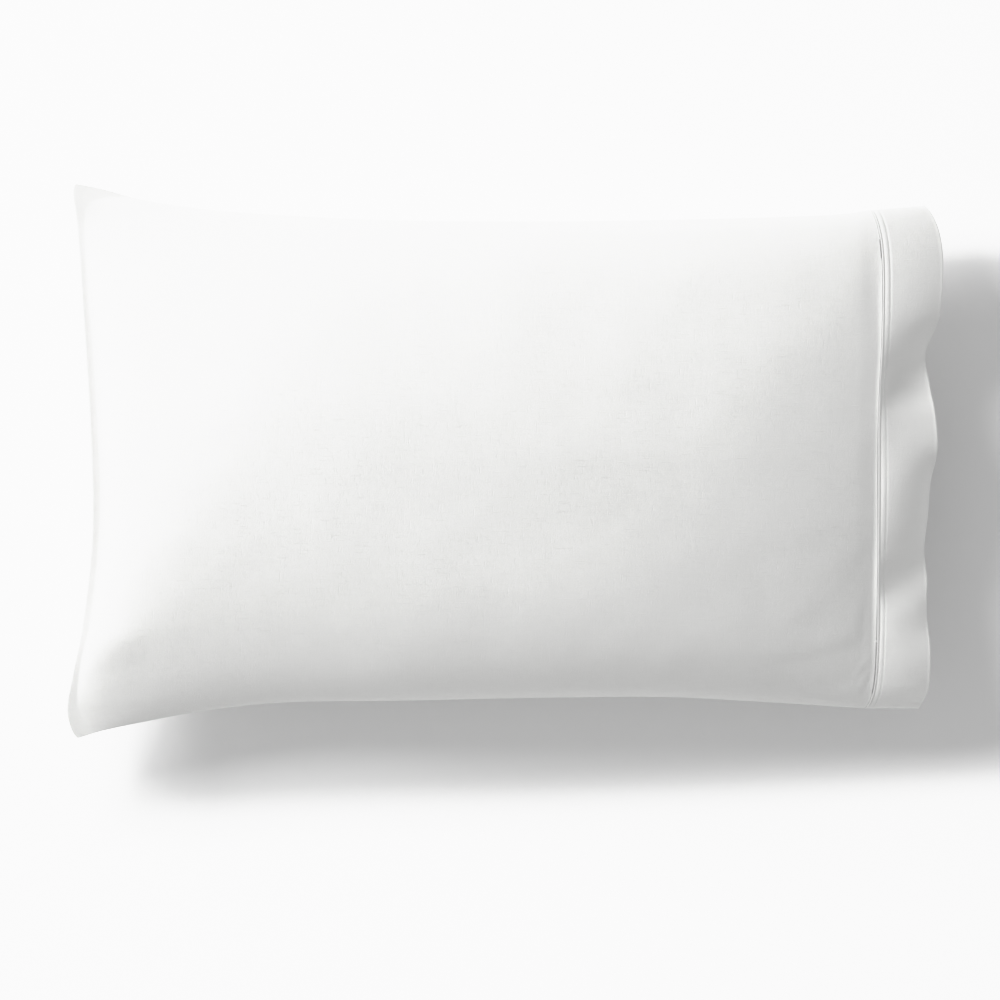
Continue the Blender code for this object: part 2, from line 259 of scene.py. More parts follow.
# Broad shallow swellings (positive) and hollows of the upper cloth, all of one size.
SWELLING_SIZE = (0.062, 0.050)  # half length along X, and half width
Swelling = namedtuple("Swelling", "x y height")
SWELLINGS = (
    Swelling(-0.002, 0.186, 0.00157),
    Swelling(0.081, 0.186, 0.00200),
    Swelling(0.165, 0.186, 0.00200),
    Swelling(0.244, 0.186, 0.00172),
    Swelling(0.081, 0.109, -0.00110),
    Swelling(0.165, 0.109, -0.00158),
    Swelling(0.244, 0.109, 0.00082),
    Swelling(0.081, 0.030, -0.00200),
    Swelling(0.165, 0.030, -0.00200),
    Swelling(0.000, -0.049, -0.00101),
    Swelling(0.081, -0.049, -0.00153),
    Swelling(0.165, -0.049, -0.00092),
    Swelling(0.244, -0.049, 0.00112),
    Swelling(0.000, -0.128, 0.00126),
    Swelling(0.165, -0.128, -0.00067),
    Swelling(0.244, -0.128, -0.00200),
)

# Faint unevenness of the upper cloth: wave lengths, direction in degrees and height.
WAVE_WANDER = 1.3         # how far the waves stray from straight, in radians
WAVE_WANDER_TURN = 0.45   # and how often, for each wave length across
Wave = namedtuple("Wave", "length turn phase height")
WAVES = (
    Wave(0.190, 12, 0.4, 0.00030),
    Wave(0.145, 77, 1.9, 0.00025),
    Wave(0.118, 140, 3.1, 0.00022),
    Wave(0.083, 48, 5.2, 0.00012),
    Wave(0.061, 104, 2.3, 0.00008),
    Wave(0.047, 171, 0.9, 0.00005),
)

# Across the hem, from the piping: distance along the cloth and height over it.
HemStep = namedtuple("HemStep", "distance height")
HEM_EDGE = (
    HemStep(0.0018, -0.0003),
    HemStep(0.0022, -0.0004),
    HemStep(0.0027, -0.0003),
    HemStep(0.0032, -0.0001),
    HemStep(0.0038, 0.0001),
    HemStep(0.0046, 0.0002),
    HemStep(0.0058, 0.0002),
    HemStep(0.0068, 0.0),
    HemStep(0.0073, -0.0003),
    HemStep(0.0078, -0.0002),
    HemStep(0.0086, 0.0001),
    HemStep(0.0100, 0.0001),
    HemStep(0.0140, 0.0),
)

# Past that the hem is plain up to its rim, where the rows lie close again.
HEM_PLAIN_FROM = 0.0170   # from the joint
HEM_PLAIN_TO = 0.0072     # from the rim
HEM_PLAIN_ROWS = 16
HEM_RIM_FROM = 0.0060     # from the rim
HEM_RIM_ROWS = 6
HEM_FOLD_STEPS = 9        # round the rim's fold

PIPING_UNEVEN = 0.05      # share by which its height varies
PIPING_RIPPLE = 1450.0    # radians for each metre of its length
PIPING_WANDER = 2.0       # how far the ripples stray from even, in radians
PIPING_WANDER_TURN = 210.0
PIPING_STEP = 0.001       # cloth that each step round the piping takes

STITCH_ROW = 0.0073       # from the joint to the hem's row of stitches
STITCH_PITCH = 0.0031
STITCH_LENGTH = 0.0023
STITCH_RADIUS = 0.00022
STITCH_TIP = 0.35         # share of the radius that is left at the tips
STITCH_SLANT = 0.10       # radians off the row
STITCH_PROUD = 0.4        # share of the radius that the thread lies higher
STITCH_SIDES = 6
STITCH_STATIONS = (-1.0, -0.75, -0.3, 0.3, 0.75, 1.0)

# The cloth simulation of the case.
SIM_FRAMES = 20
SIM_QUALITY = 5
SIM_PRESSURE = 4.0
SIM_EXCESS = 0.010        # the cloth is cut this share too large
SIM_BENDING = 0.4
SIM_HELD_AT_END = 4       # rings of its own that don't move
SIM_HELD_AT_JOINT = 14
SIM_EVERY = 2             # it uses every second point and ring
SIM_SMOOTH = 5            # points over which its broad moves are averaged, to take them off
SIM_CAP = 0.0030          # no point moves further than this
SHOWN_ON_TOP = 0.07       # share of the wrinkles that shows on the taut upper cloth
SHOWN_AT_EARS = 0.20
SHOWN_AT_JOINT = 0.35     # near the joint, in the half towards -Y
SHOWN_UNDER = 0.60

# Smooth steps over a share of the case's length or of its half width.
Ramp = namedtuple("Ramp", "start run")
SOFTNESS_LOST_FROM = Ramp(1.0 / 3.0, 1.0 / 3.0)
SHORTER_TO_MINUS_Y = Ramp(0.30, 0.40)
HALF_OUT = Ramp(0.0, 0.50)
EARS_ALONG = Ramp(0.0, 0.30)
EARS_ACROSS = Ramp(0.45, 0.35)
NEAR_JOINT = Ramp(0.80, 0.15)
WRINKLES_FROM_JOINT = Ramp(0.0, 0.020)
WRINKLES_FROM_END = Ramp(0.01, 0.03)
WRINKLES_FROM_SIDE = Ramp(0.0, 0.05)
FOLDS_FROM_JOINT = Ramp(0.0, 0.008)
FOLDS_FROM_END = Ramp(0.0, 0.06)
FOLDS_FROM_SIDE = Ramp(0.0, 0.06)

NOSE_ANGLES = (90, 65, 40, 20)  # of the rings round the closed end's lip
FILLING_RINGS = 22        # rings that close the case inside the mouth
FILLING_ROUND = 1.3       # how blunt the pillow's end is
FILLING_FLAT = 4          # how evenly it bulges across the mouth
FILLING_SLIT = 0.01       # share of the height at which the last ring is closed flat

RINGS_CLOSE = 0.0011      # between the case's rings at both of its ends
RINGS_APART = 0.0046      # and further in
RINGS_EVEN_FROM = 0.06
CASE_STEPS_ACROSS = 150   # on the upper and on the lower cloth
HEM_STEPS_ACROSS = 300
STEPS_ROUND_PIPING = 12
BEFORE_JOINT = 0.006      # the cloth's direction in the joint is taken from here back
PAST_JOINT = 0.1          # to this share of the hem's depth


# ---- curves -------------------------------------

def smooth_table(rows, key, column, at):
    """Values of a column at places, on a smooth curve through the table's rows."""
    keys = np.array([getattr(row, key) for row in rows], float)
    values = np.array([getattr(row, column) for row in rows], float)
    tangents = np.empty(len(rows))
    tangents[1:-1] = (values[2:] - values[:-2]) / (keys[2:] - keys[:-2])
    tangents[0] = (values[1] - values[0]) / (keys[1] - keys[0])
    tangents[-1] = (values[-1] - values[-2]) / (keys[-1] - keys[-2])
    at = np.clip(at, keys[0], keys[-1])
    i = np.clip(np.searchsorted(keys, at, side="right") - 1, 0, len(rows) - 2)
    span = keys[i + 1] - keys[i]
    t = (at - keys[i]) / span
    rise = values[i + 1] - values[i]
    start, end = tangents[i] * span, tangents[i + 1] * span
    return (values[i] + start * t
            + (3 * rise - 2 * start - end) * t ** 2
            + (start + end - 2 * rise) * t ** 3)


def blend(a, b, t):
    """Straight mix of a and b."""
    return a + (b - a) * t


def ease(t):
    """Smooth step from 0 to 1."""
    t = np.clip(t, 0.0, 1.0)
    return t * t * (3.0 - 2.0 * t)


def ramped(value, ramp):
    """Smooth step of a value from 0, at the ramp's start, to 1 at its end."""
    return ease((value - ramp.start) / ramp.run)


def swell(t, power, sharpness):
    """Rise of filled cloth from an edge at t = 0 to its full height at t = 1."""
    t = np.clip(t, 0.0, 1.0)
    return (1.0 - (1.0 - t) ** power) ** sharpness


def onset(along, start, power):
    """Share from 0, up to a start, to 1 at the joint."""
    return np.clip((along - start) / (1.0 - start), 0.0, None) ** power


def rest_on_plane(z):
    """The height z, eased on to the resting plane and never below it."""
    eased = (z + FLOOR_BLEND) ** 2 / (4.0 * FLOOR_BLEND)
    return np.where(z >= FLOOR_BLEND, z, np.where(z <= -FLOOR_BLEND, 0.0, eased))


# ---- the case's surface -------------------------

def ring_places(steps):
    """Across and side of every point of a ring; side is +1 above and -1 below."""
    upper = np.sin(np.pi * (np.arange(steps + 1) / steps - 0.5))
    across = np.concatenate([upper, upper[-2:0:-1]])
    side = np.concatenate([np.ones(steps + 1), -np.ones(steps - 1)])
    return across, side


def closed_end_x(across):
    """X of the closed end, with the ears' rounded corners."""
    corner = EAR_CORNER * np.abs(across) ** EAR_CORNER_POWER
    return smooth_table(CLOSED_END, "across", "x", across) + corner


def joint_x(across, side):
    """X of the joint between the case and its hem band."""
    far = np.abs(across)
    plus, minus = [end.out * far * ramped(far, HALF_OUT) - end.round * far ** end.power
                   for end in (JOINT_PLUS_Y, JOINT_MINUS_Y)]
    x = JOINT_X + np.where(across > 0, plus, minus)
    back = JOINT_UNDER_BACK * np.sqrt(np.clip(1.0 - across ** 2, 0.0, None))
    return x - np.where(side < 0, back, 0.0)


def half_width(along, across):
    """Width from the middle to the side that a point is nearer to."""
    plus = smooth_table(WIDTHS, "along", "plus_y", along)
    minus = smooth_table(WIDTHS, "along", "minus_y", along)
    return np.where(across >= 0, plus, minus)


def height_along(along, across, side):
    """Height of the cloth over or under the seams' level, at mid width."""
    lip = SEAM_LIP / (JOINT_X - WAIST_X) * blend(1.0, LIP_AT_EARS, np.abs(across) ** 3)
    past_lip = np.clip((along - lip) / (1.0 - lip), 0.0, None)
    outer = ramped(np.abs(across), SOFTNESS_LOST_FROM)
    soft = LIP_SOFTNESS / (JOINT_X - WAIST_X) * (1.0 - SOFTNESS_LOST * outer)
    past_lip = np.sqrt(past_lip ** 2 + soft ** 2) - soft
    full, power, sharp = [smooth_table(TOP_FROM_END, "across", column, across)
                          for column in ("full", "power", "sharpness")]
    rise = (CROWN_HEIGHT - SEAM_HEIGHT) * swell(past_lip / full, power, sharp)
    fall = (CROWN_HEIGHT - JOINT_TOP) * onset(along, TOP_FULL, TOP_FALL_POWER)
    under_plane = 2.0 * FLOOR_BLEND
    sink = (SEAM_HEIGHT + under_plane) * swell(past_lip / UNDER_FULL, *UNDER_FROM_END)
    lift = (JOINT_UNDER + under_plane) * onset(along, UNDER_LIFTS, UNDER_LIFT_POWER)
    return np.where(side > 0, rise - fall, lift - sink)


def fullness(along, across, side):
    """Share of the mid-width height that is left nearer the sides."""
    width = half_width(along, across)
    filled = np.where(across >= 0, FILLED_TO_PLUS_Y, FILLED_TO_MINUS_Y)
    reach = np.clip(np.abs(across) * width / np.minimum(width, filled), 0.0, 1.0)
    plus_power, plus_sharp, minus_power, minus_sharp = [
        smooth_table(TOP_FROM_SIDES, "along", column, along)
        for column in ("plus_power", "plus_sharp", "minus_power", "minus_sharp")]
    top = swell(1.0 - reach, np.where(across >= 0, plus_power, minus_power),
                np.where(across >= 0, plus_sharp, minus_sharp))
    opening = ease((along - SIDES_ROUND) / (1.0 - SIDES_ROUND))
    sharp = UNDER_FROM_SIDE.sharpness + EAR_SHARPER * (1.0 - ease(along / EAR_FADE))
    under = swell(1.0 - reach, blend(UNDER_FROM_SIDE.power, ROUND_FOLD.power, opening),
                  blend(sharp, ROUND_FOLD.sharpness, opening))
    return np.where(side > 0, top, under)


def case_points(along, across, side):
    """Points of the case's cloth, as the last axis of the result."""
    along, across, side = np.broadcast_arrays(along, across, side)
    x = blend(closed_end_x(across), joint_x(across, side), along)
    y = across * half_width(along, across)
    height = height_along(along, across, side) * fullness(along, across, side)
    least = FOLD_RADIUS * (1.0 - np.abs(across) ** LEAST_HEIGHT_POWER)
    height = np.where(side > 0, np.maximum(height, least), np.minimum(height, -least))
    offset = joint_x(across, side) - VALLEY_BACK - x
    offset = np.where(offset > 0, offset / VALLEY_REACH, -offset / VALLEY_BACK)
    arch = np.sqrt(np.clip(1.0 - across ** 2, 0.0, None))
    height = height - side * VALLEY_DEPTH * (1.0 - ease(offset)) * arch
    from_end = along * (joint_x(across, side) - closed_end_x(across))
    reach = smooth_table(LIP_CURL, "across", "reach", across)
    curl = smooth_table(LIP_CURL, "across", "lift", across)
    z = SEAM_HEIGHT + curl * np.clip(1.0 - from_end / reach, 0.0, None) ** 2 + height
    return np.stack([x, y, np.where(side < 0, rest_on_plane(z), z)], axis=-1)


def frames(ring, onward):
    """(along, outward) unit vectors for each point of a closed ring of cloth."""
    around = np.roll(ring, -1, axis=0) - np.roll(ring, 1, axis=0)
    outward = np.cross(onward - ring, around)
    outward /= np.linalg.norm(outward, axis=1, keepdims=True)
    along = np.cross(around, outward)
    along /= np.linalg.norm(along, axis=1, keepdims=True)
    return along, outward


# ---- the hem's surface --------------------------

def hem_points(depth, across, side):
    """Points of the hem band's outer cloth, at depths from 0 (joint) to 1 (rim)."""
    def slope(column):
        top = smooth_table(HEM_TOP, "across", column, across)
        under = smooth_table(HEM_UNDER, "across", column, across)
        return np.where(side > 0, top, under)

    mean = np.radians(blend(slope("at_joint"), slope("at_rim"), 0.5 * depth))
    start = case_points(1.0, across, side)
    corner = HEM_CORNER_ROUND * ease(depth) * np.abs(across) ** HEM_CORNER_POWER
    flare = np.where(across > 0, HEM_FLARE_PLUS_Y, HEM_FLARE_MINUS_Y)
    shorter = HEM_SHORTER_MINUS_Y * ramped(-across, SHORTER_TO_MINUS_Y)
    shorter = shorter * (1.0 - np.abs(across) ** HEM_SHORTER_POWER)
    depth_here = HEM_DEPTH - np.where(side > 0, shorter, 0.0)
    x = start[:, 0] + depth_here * depth * np.cos(mean) - corner
    y = start[:, 1] + across * flare * depth
    z = start[:, 2] - depth_here * depth * np.sin(mean)
    return np.stack([x, y, z], axis=-1)


def joint_line(steps):
    """The joint's ring of points, with its (along, outward) vectors."""
    across, side = ring_places(steps)
    line = case_points(1.0, across, side)
    length = joint_x(across, side) - closed_end_x(across)
    before = case_points(1.0 - BEFORE_JOINT / length, across, side)
    onward = line + hem_points(PAST_JOINT, across, side) - before
    return line, frames(line, onward)


def piping_reach(steps):
    """Half of the piping's width at every point of a ring, as a column."""
    across, _ = ring_places(steps)
    return 0.5 * PIPING_WIDTH * smooth_table(SEAMS, "across", "piping", across)[:, None]


# ---- mesh helpers -------------------------------

def arc_lengths(points, axis):
    """Distance along the cloth from the first row or column, at every point."""
    steps = np.linalg.norm(np.diff(points, axis=axis), axis=2)
    start = np.zeros_like(np.take(steps, [0], axis=axis))
    return np.concatenate([start, np.cumsum(steps, axis=axis)], axis=axis)


def grid_faces(rows, columns, closed_rows):
    """Corner numbers of a grid's quads; its columns run round a closed ring."""
    r = np.arange(rows if closed_rows else rows - 1)[:, None]
    c = np.arange(columns)[None, :]
    near, far = r * columns, (r + 1) % rows * columns
    after = (c + 1) % columns
    return np.stack([near + c, near + after, far + after, far + c], axis=-1).reshape(-1, 4)


def add_object(name, data):
    """A new object of the scene."""
    thing = bpy.data.objects.new(name, data)
    bpy.context.scene.collection.objects.link(thing)
    return thing


def add_mesh(name, points, faces, uvs):
    """An object with smooth shading, from points, faces and a (u, v) for each corner."""
    mesh = bpy.data.meshes.new(name)
    mesh.from_pydata(points.tolist(), [], faces)
    layer = mesh.uv_layers.new(name="Cloth")
    layer.data.foreach_set("uv", np.asarray(uvs, np.float32).ravel())
    mesh.shade_smooth()
    mesh.update()
    return add_object(name, mesh)


def corner_uvs(closed_rows, u, v):
    """(u, v) of each quad corner, where the last column joins the first."""
    def corners(values, wrap_rows, wrap_columns):
        wide = np.concatenate([values, wrap_columns], axis=1)
        if closed_rows:
            wide = np.concatenate([wide, wrap_rows], axis=0)
        near, far = wide[:-1], wide[1:]
        return np.stack([near[:, :-1], near[:, 1:], far[:, 1:], far[:, :-1]], axis=-1)

    step_u = u[-1:] + (u[-1:] - u[-2:-1])
    step_v = v[:, -1:] + (v[:, -1:] - v[:, -2:-1])
    us = corners(u, np.concatenate([step_u, step_u[:, :1]], axis=1), u[:, :1])
    vs = corners(v, np.concatenate([v[-1:], step_v[-1:]], axis=1), step_v)
    return np.stack([us.reshape(-1, 4), vs.reshape(-1, 4)], axis=-1).reshape(-1, 2)


# ---- the filled case ----------------------------

def stations():
    """Distances from the closed end of the case's rings, close together near both ends."""
    length = JOINT_X - WAIST_X
    marks = [0.0]
    while marks[-1] < length:
        near = min(marks[-1], length - marks[-1])
        wider = float(ease(near / RINGS_EVEN_FROM))
        marks.append(marks[-1] + blend(RINGS_CLOSE, RINGS_APART, wider))
    return np.array(marks[:-1]) * (length / marks[-1])


def relief(points):
    """Height that folds, swellings and waves add to the upper cloth."""
    x, y = points[..., 0], points[..., 1]
    total = np.zeros_like(x)
    broad = tuple(Fold(s.x, s.y, *SWELLING_SIZE, 0, s.height) for s in SWELLINGS)
    for fold in FOLDS + broad:
        turn = math.radians(fold.turn)
        dx, dy = x - fold.x, y - fold.y
        a = (dx * math.cos(turn) + dy * math.sin(turn)) / fold.length
        b = (dy * math.cos(turn) - dx * math.sin(turn)) / fold.width
        total += fold.height * np.exp(-(a * a + b * b))
    for wave in WAVES:
        turn = math.radians(wave.turn)
        run = (x * math.cos(turn) + y * math.sin(turn)) * 2.0 * math.pi / wave.length
        cross = (y * math.cos(turn) - x * math.sin(turn)) * 2.0 * math.pi / wave.length
        wander = WAVE_WANDER * np.sin(WAVE_WANDER_TURN * cross + wave.phase)
        total += wave.height * np.sin(run + wave.phase + wander)
    return total


def closing_faces(rows, columns):
    """Faces that close the first and the last ring of a skin."""
    last = (rows - 1) * columns
    return lens_faces(0, columns, True) + lens_faces(last, columns, False)


def simulate(rings):
    """The rings after the cloth, cut a little too large, is blown up on its filling."""
    rows, columns = rings.shape[:2]
    mesh = bpy.data.meshes.new("rehearsal")
    faces = grid_faces(rows, columns, False).tolist() + closing_faces(rows, columns)
    mesh.from_pydata(rings.reshape(-1, 3).tolist(), [], faces)
    mesh.update()
    thing = add_object("rehearsal", mesh)
    held = thing.vertex_groups.new(name="held")
    ends = list(range(columns * SIM_HELD_AT_END))
    ends += list(range(columns * (rows - SIM_HELD_AT_JOINT), columns * rows))
    held.add(ends, 1.0, "REPLACE")
    cloth = thing.modifiers.new("cloth", "CLOTH")
    cloth.point_cache.frame_end = SIM_FRAMES
    settings = cloth.settings
    settings.quality = SIM_QUALITY
    settings.effector_weights.gravity = 0.0
    settings.use_pressure = True
    settings.uniform_pressure_force = SIM_PRESSURE
    settings.shrink_min = -SIM_EXCESS
    settings.bending_stiffness = SIM_BENDING
    settings.vertex_group_mass = held.name
    scene = bpy.context.scene
    for frame in range(1, SIM_FRAMES + 1):
        scene.frame_set(frame)
    blown = thing.evaluated_get(bpy.context.evaluated_depsgraph_get())
    points = np.empty(rows * columns * 3)
    blown.data.vertices.foreach_get("co", points)
    scene.frame_set(1)
    bpy.data.objects.remove(thing)
    return points.reshape(rings.shape)


def smooth_rings(values, reach):
    """Values averaged over a reach of points both ways on the skin."""
    weights = np.hanning(2 * reach + 3)[1:-1]
    weights /= weights.sum()
    wide = np.concatenate([values[:, -reach:], values, values[:, :reach]], axis=1)
    wide = sum(w * wide[:, i:i + values.shape[1]] for i, w in enumerate(weights))
    tall = np.concatenate([wide[:1]] * reach + [wide] + [wide[-1:]] * reach)
    return sum(w * tall[i:i + values.shape[0]] for i, w in enumerate(weights))


def wrinkles(rings):
    """Small forms that a cloth simulation adds to the rings, as capped moves."""
    inner = np.arange(2, len(rings) - 2, SIM_EVERY)
    sparse = rings[inner, ::SIM_EVERY]
    moves = simulate(sparse) - sparse
    moves -= smooth_rings(moves, SIM_SMOOTH)
    size = np.linalg.norm(moves, axis=2, keepdims=True)
    moves *= SIM_CAP / (SIM_CAP + size)
    places = np.arange(rings.shape[1]) / SIM_EVERY
    closed = np.concatenate([moves, moves[:, :1]], axis=1)
    known = np.arange(closed.shape[1])
    dense = np.stack([[np.interp(places, known, row[:, k]) for row in closed]
                      for k in range(3)], axis=-1)
    return np.stack([[np.interp(np.arange(len(rings)), inner, column, 0.0, 0.0)
                      for column in dense[:, :, k].T] for k in range(3)], axis=-1).swapaxes(0, 1)


def wrinkle_share(body):
    """How much of the simulated wrinkles shows, at each point of the case's rings."""
    across, side = ring_places(CASE_STEPS_ACROSS)
    end = closed_end_x(across)
    along = (body[:, :, 0] - end) / (joint_x(across, side) - end)
    far = np.abs(across)
    ears = (1.0 - ramped(along, EARS_ALONG)) * ramped(far, EARS_ACROSS)
    top = blend(SHOWN_ON_TOP, SHOWN_AT_EARS, ears)
    at_joint = SHOWN_AT_JOINT * ramped(along, NEAR_JOINT) * ramped(-across, HALF_OUT)
    share = np.where(side > 0, np.maximum(top, at_joint), SHOWN_UNDER)
    clear = ramped(1.0 - along, WRINKLES_FROM_JOINT) * ramped(along, WRINKLES_FROM_END)
    return share * clear * ramped(1.0 - far, WRINKLES_FROM_SIDE)


def case_rings():
    """Rings of the case's cloth, from the closed end to the joint."""
    across, side = ring_places(CASE_STEPS_ACROSS)
    length = joint_x(across, side) - closed_end_x(across)
    whole = JOINT_X - WAIST_X
    marks = stations()[:, None]
    from_end = marks / length
    from_joint = 1.0 - (whole - marks) / length
    along = blend(from_end, from_joint, ease(marks / whole))
    points = case_points(along, across, side)
    inside = ramped(along, FOLDS_FROM_END) * ramped(1.0 - along, FOLDS_FROM_JOINT)
    inside = inside * ramped(1.0 - np.abs(across), FOLDS_FROM_SIDE)
    points[..., 2] += np.where(side > 0, relief(points) * inside, 0.0)
    return points


def nose_rings(first):
    """Rings that round the lip of the closed end."""
    rings = []
    middle = 0.5 * (first + first[-np.arange(len(first))])
    for angle in np.radians(NOSE_ANGLES):
        ring = middle + (first - middle) * math.cos(angle)
        ring[:, 0] -= FOLD_RADIUS * math.sin(angle)
        rings.append(ring)
    return np.array(rings)


def filling_rings(edge):
    """Rings that close the case inside the mouth, as the pillow's own end."""
    widest = np.abs(edge[:, 1]).max()
    middle = 0.5 * (JOINT_TOP + JOINT_UNDER)
    narrow = 1.0 - END_INSET / widest
    flat = 1.0 - END_INSET / (JOINT_TOP - middle)
    mid_x = 0.5 * (edge[:, 0] + edge[-np.arange(len(edge)), 0])
    rings = []
    for t in np.linspace(0.0, 1.0, FILLING_RINGS):
        height = math.cos(0.5 * math.pi * t) ** FILLING_ROUND if t < 1.0 else 0.0
        evenly = 1.0 - (edge[:, 1] / widest) ** FILLING_FLAT
        bulge = END_BULGE * math.sin(0.5 * math.pi * t) * evenly
        x = blend(mid_x, edge[:, 0], height) + bulge
        z = middle + (edge[:, 2] - middle) * flat * max(height, FILLING_SLIT)
        rings.append(np.stack([x, edge[:, 1] * narrow, z], axis=-1))
    return np.array(rings)


def lens_faces(first, columns, flipped):
    """Faces across a flat ring, from its upper to its lower points."""
    faces = []
    for i in range(columns // 2):
        corners = [i, i + 1, (columns - i - 1) % columns, (columns - i) % columns]
        unique = [first + c for k, c in enumerate(corners) if c not in corners[:k]]
        faces.append(unique[::-1] if flipped else unique)
    return faces


def make_case():
    """The filled case, as one closed skin."""
    line, (along, _) = joint_line(CASE_STEPS_ACROSS)
    body = case_rings()
    edge = line - along * (piping_reach(CASE_STEPS_ACROSS) + FIT_GAP)
    rings = np.concatenate([nose_rings(body[0]), body, edge[None], filling_rings(edge)])
    rows, columns = rings.shape[:2]
    start = rows - len(body) - 1 - FILLING_RINGS
    moves = wrinkles(rings)[start:start + len(body)] * wrinkle_share(body)[:, :, None]
    rings[start:start + len(body)] += moves
    rings[:, :, 2] = np.maximum(rings[:, :, 2], 0.0)
    faces = grid_faces(rows, columns, False).tolist()
    u = arc_lengths(rings, 0)
    v = arc_lengths(np.concatenate([rings, rings[:, :1]], axis=1), 1)
    v = v - v[:, CASE_STEPS_ACROSS // 2][:, None]
    uvs = corner_uvs(False, u + WAIST_X, v[:, :-1])
    caps = closing_faces(rows, columns)
    extra = sum(len(f) for f in caps)
    uvs = np.concatenate([uvs, np.zeros((extra, 2))])
    return add_mesh("case_cloth", rings.reshape(-1, 3), faces + caps, uvs)


# ---- the piping and the hem ---------------------

def make_piping():
    """The piping: cloth drawn round a cord, a little uneven along its length."""
    line, (along, outward) = joint_line(HEM_STEPS_ACROSS)
    distance = arc_lengths(line[None], 1)[0]
    wander = PIPING_WANDER * np.sin(distance * PIPING_WANDER_TURN)
    uneven = 1.0 + PIPING_UNEVEN * np.sin(distance * PIPING_RIPPLE + wander)
    middle = PIPING_PROUD - 0.5 * PIPING_HEIGHT
    rings = []
    for step in range(STEPS_ROUND_PIPING):
        angle = 2.0 * math.pi * step / STEPS_ROUND_PIPING
        on_cloth = piping_reach(HEM_STEPS_ACROSS) * math.cos(angle)
        through = middle + 0.5 * PIPING_HEIGHT * math.sin(angle) * uneven
        rings.append(line + along * on_cloth + outward * through[:, None])
    rings = np.array(rings)
    rows, columns = rings.shape[:2]
    u = np.repeat(np.arange(rows)[:, None] * PIPING_STEP, columns, axis=1)
    v = np.repeat(distance[None], rows, axis=0)
    uvs = corner_uvs(True, u, v)
    faces = grid_faces(rows, columns, True).tolist()
    return add_mesh("piping_cloth", rings.reshape(-1, 3), faces, uvs)


def hem_rows(line, vectors):
    """Rings of the hem's outer cloth, from the piping to the rim."""
    across, side = ring_places(HEM_STEPS_ACROSS)
    start = line + vectors[0] * (piping_reach(HEM_STEPS_ACROSS) - HEM_TUCKED)
    shift = start - hem_points(0.0, across, side)
    marks = [row.distance for row in HEM_EDGE]
    marks += list(np.linspace(HEM_PLAIN_FROM, HEM_DEPTH - HEM_PLAIN_TO, HEM_PLAIN_ROWS))
    marks += list(np.linspace(HEM_DEPTH - HEM_RIM_FROM, HEM_DEPTH - FOLD_RADIUS, HEM_RIM_ROWS))
    marks = np.array(marks)
    rings = []
    for mark in marks:
        depth = (mark - marks[0]) / (marks[-1] - marks[0]) * (1.0 - FOLD_RADIUS / HEM_DEPTH)
        settle = 1.0 - ease(2.0 * depth)
        rings.append(hem_points(depth, across, side) + shift * settle)
    return marks, np.array(rings)


def hem_lift(marks):
    """Height of the hem's seam, strip and rim over its plain cloth, by mark and place."""
    across, _ = ring_places(HEM_STEPS_ACROSS)
    edge = smooth_table(HEM_EDGE, "distance", "height", marks)
    edge[marks > HEM_EDGE[-1].distance] = 0.0
    tuck = np.where(marks > marks[0], 0.0, HEM_TUCK_DEPTH)
    rim = RIM_BEAD * np.exp(-((marks - marks[-1]) / RIM_BEAD_WIDTH) ** 2)
    strength = smooth_table(SEAMS, "across", "strip", across)
    return (edge[:, None] * strength + (rim - tuck)[:, None])[:, :, None]


def make_hem():
    """The hem band and its stitches: doubled cloth, folded at its rim and open there."""
    line, vectors = joint_line(HEM_STEPS_ACROSS)
    marks, outer = hem_rows(line, vectors)
    beyond = 2.0 * outer[-1] - outer[-2]
    following = np.concatenate([outer[1:], beyond[None]])
    cloth = [frames(ring, after) for ring, after in zip(outer, following)]
    outward = np.array([c[1] for c in cloth])
    inner = outer - outward * CLOTH_THICKNESS
    outer = outer + outward * hem_lift(marks)
    fold = []
    for angle in np.radians(np.linspace(0.0, 180.0, HEM_FOLD_STEPS + 1)[1:-1]):
        reach = FOLD_RADIUS * math.sin(angle)
        height = FOLD_RADIUS * (math.cos(angle) - 1.0)
        fold.append(outer[-1] + cloth[-1][0] * reach + cloth[-1][1] * height)
    rings = np.concatenate([outer, np.array(fold), inner[::-1]])
    rows, columns = rings.shape[:2]
    u = arc_lengths(rings, 0)
    v = np.repeat(arc_lengths(line[None], 1), rows, axis=0)
    uvs = corner_uvs(True, u + JOINT_X, v)
    faces = grid_faces(rows, columns, True).tolist()
    hem = add_mesh("hem_cloth", rings.reshape(-1, 3), faces, uvs)
    row = int(np.argmin(np.abs(marks - STITCH_ROW)))
    return hem, make_stitches(outer[row], *cloth[row])


def thread_shape():
    """Points and faces of one stitch: a short thread that dips at both of its ends."""
    points = []
    for station in STITCH_STATIONS:
        thick = STITCH_RADIUS * blend(STITCH_TIP, 1.0, 1.0 - station ** 4)
        for angle in 2.0 * math.pi * np.arange(STITCH_SIDES) / STITCH_SIDES:
            points.append((0.5 * STITCH_LENGTH * station, thick * math.cos(angle),
                           thick * math.sin(angle) - STITCH_RADIUS * station ** 4))
    faces = grid_faces(len(STITCH_STATIONS), STITCH_SIDES, False).tolist()
    faces.append(list(range(STITCH_SIDES))[::-1])
    faces.append(list(range(len(points) - STITCH_SIDES, len(points))))
    return np.array(points), faces


